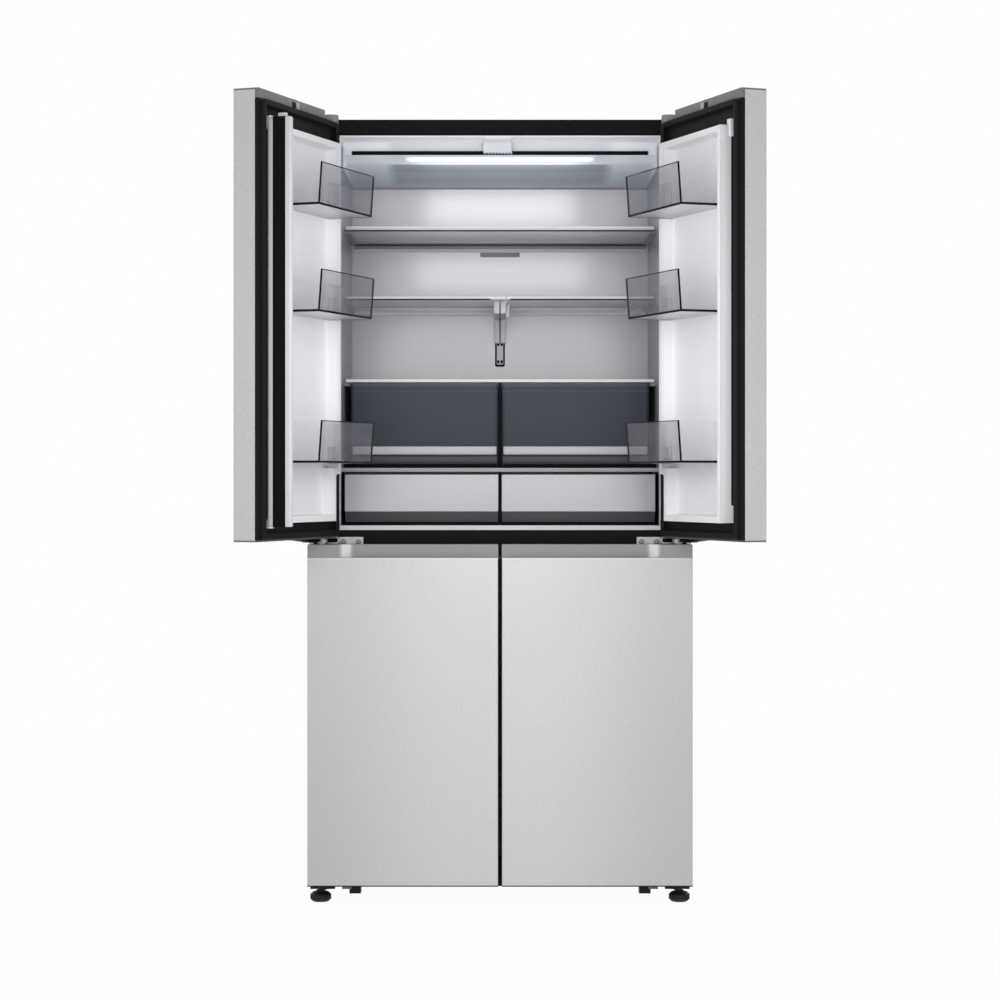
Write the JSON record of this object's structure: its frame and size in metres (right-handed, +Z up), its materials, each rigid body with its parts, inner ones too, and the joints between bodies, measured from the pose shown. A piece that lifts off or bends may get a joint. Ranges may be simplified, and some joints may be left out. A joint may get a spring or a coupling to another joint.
{
  "type": "four-door refrigerator-freezer",
  "caption": "Tall kitchen refrigerator with swinging upper doors held open on a lit shelf and drawer compartment, a folding centre pillar, and swinging lower doors on a freezer.",
  "frame": {"origin": "on the floor, under the middle of the cabinet's width and depth", "axes": "+Z up, +X to the right seen from the front, +Y towards the rear"},
  "size_m": [1.179, 1.0791, 1.866],
  "materials": {
    "door_steel": "satin",
    "cabinet_paint": "satin",
    "zinc_sheet": "matte",
    "frame_black": "satin",
    "white_plastic": "satin",
    "foam": "matte",
    "silver_panel": "satin",
    "lamp_cover": "satin",
    "lamp": "gloss",
    "dark_plastic": "matte",
    "shelf_glass": "gloss",
    "trim_metal": "satin",
    "smoked_plastic": "gloss",
    "front_metal": "satin",
    "light_plastic": "satin",
    "cap_grey": "satin",
    "seal_rubber": "matte",
    "grip_metal": "satin",
    "hinge_metal": "satin",
    "foot_plastic": "matte",
    "machine_black": "satin",
    "fin_metal": "satin"
  },
  "bodies": {
    "cabinet": {"cabinet_wrap": "cabinet_paint", "cabinet_back": "zinc_sheet", "cabinet_base": "machine_black", "insulation": "foam", "front_frame": "frame_black", "fridge_liner": "white_plastic", "freezer_liner": "white_plastic", "rear_duct_panel": "silver_panel", "lamp_housing": "lamp_cover", "led_strip": "lamp", "air_slots": "dark_plastic", "pillar_guide": "white_plastic", "upper_shelf_glass": "shelf_glass", "half_shelf_glass": "shelf_glass", "crisper_cover_glass": "shelf_glass", "shelf_trims": "trim_metal", "ladder_rail": "light_plastic", "drawer_deck": "light_plastic", "drawer_divider": "dark_plastic", "freezer_drawers_left": "white_plastic", "freezer_drawers_right": "white_plastic", "top_hinges": "hinge_metal", "mid_hinges": "hinge_metal", "bottom_hinges": "machine_black", "compressor": "machine_black", "condenser": "fin_metal", "fan_motor": "machine_black", "machine_cover": "zinc_sheet"},
    "upper_left_door": {"upper_left_door_shell": "door_steel", "upper_left_door_caps": "cap_grey", "upper_left_door_liner": "white_plastic", "upper_left_door_seal": "seal_rubber", "upper_left_door_bins": "smoked_plastic"},
    "upper_right_door": {"upper_right_door_shell": "door_steel", "upper_right_door_caps": "cap_grey", "upper_right_door_liner": "white_plastic", "upper_right_door_seal": "seal_rubber", "upper_right_door_bins": "smoked_plastic"},
    "lower_left_door": {"lower_left_door_shell": "door_steel", "lower_left_door_grip": "grip_metal", "lower_left_door_liner": "white_plastic", "lower_left_door_seal": "seal_rubber"},
    "lower_right_door": {"lower_right_door_shell": "door_steel", "lower_right_door_grip": "grip_metal", "lower_right_door_liner": "white_plastic", "lower_right_door_seal": "seal_rubber"},
    "pillar": {"pillar_body": "white_plastic", "pillar_strip": "dark_plastic"},
    "left_crisper": {"crisper_left": "smoked_plastic"},
    "right_crisper": {"crisper_right": "smoked_plastic"},
    "left_pantry": {"pantry_left": "smoked_plastic", "pantry_left_front": "front_metal"},
    "right_pantry": {"pantry_right": "smoked_plastic", "pantry_right_front": "front_metal"},
    "left_foot": {"front_left_foot": "foot_plastic"},
    "right_foot": {"front_right_foot": "foot_plastic"},
    "left_roller": {"rear_left_roller": "foot_plastic"},
    "right_roller": {"rear_right_roller": "foot_plastic"},
    "fan": {"condenser_fan": "dark_plastic"}
  },
  "joints": [
    {"name": "upper_left_door_swing", "type": "hinge", "parent": "cabinet", "child": "upper_left_door", "pos_m": [-0.42, -0.358, 1.364], "axis": [0, 0, -1], "range_deg": [-110, 0]},
    {"name": "upper_right_door_swing", "type": "hinge", "parent": "cabinet", "child": "upper_right_door", "pos_m": [0.42, -0.358, 1.364], "axis": [0, 0, 1], "range_deg": [-110, 0]},
    {"name": "lower_left_door_swing", "type": "hinge", "parent": "cabinet", "child": "lower_left_door", "pos_m": [-0.42, -0.358, 0.448], "axis": [0, 0, -1], "range_deg": [0, 110]},
    {"name": "lower_right_door_swing", "type": "hinge", "parent": "cabinet", "child": "lower_right_door", "pos_m": [0.42, -0.358, 0.448], "axis": [0, 0, 1], "range_deg": [0, 110]},
    {"name": "pillar_fold", "type": "hinge", "parent": "upper_left_door", "child": "pillar", "pos_m": [-0.50777, -0.74534, 0.9], "axis": [0, 0, 1], "range_deg": [-90, 0]},
    {"name": "left_crisper_slide", "type": "slide", "parent": "cabinet", "child": "left_crisper", "axis": [0, -1, 0], "range_m": [0, 0.23]},
    {"name": "right_crisper_slide", "type": "slide", "parent": "cabinet", "child": "right_crisper", "axis": [0, -1, 0], "range_m": [0, 0.23]},
    {"name": "left_pantry_slide", "type": "slide", "parent": "cabinet", "child": "left_pantry", "axis": [0, -1, 0], "range_m": [0, 0.3]},
    {"name": "right_pantry_slide", "type": "slide", "parent": "cabinet", "child": "right_pantry", "axis": [0, -1, 0], "range_m": [0, 0.3]},
    {"name": "left_foot_turn", "type": "hinge", "parent": "cabinet", "child": "left_foot", "pos_m": [-0.426, -0.334, 0.02], "axis": [0, 0, 1], "continuous": true},
    {"name": "right_foot_turn", "type": "hinge", "parent": "cabinet", "child": "right_foot", "pos_m": [0.426, -0.334, 0.02], "axis": [0, 0, 1], "continuous": true},
    {"name": "left_roller_turn", "type": "hinge", "parent": "cabinet", "child": "left_roller", "pos_m": [-0.38, 0.242, 0.022], "axis": [1, 0, 0], "continuous": true},
    {"name": "right_roller_turn", "type": "hinge", "parent": "cabinet", "child": "right_roller", "pos_m": [0.38, 0.242, 0.022], "axis": [1, 0, 0], "continuous": true},
    {"name": "fan_turn", "type": "hinge", "parent": "cabinet", "child": "fan", "pos_m": [0, 0.212, 0.121], "axis": [1, 0, 0], "continuous": true}
  ],
  "couplings": [
    {"joint": "pillar_fold", "follows": "upper_left_door_swing", "ratio": 0.81818}
  ]
}
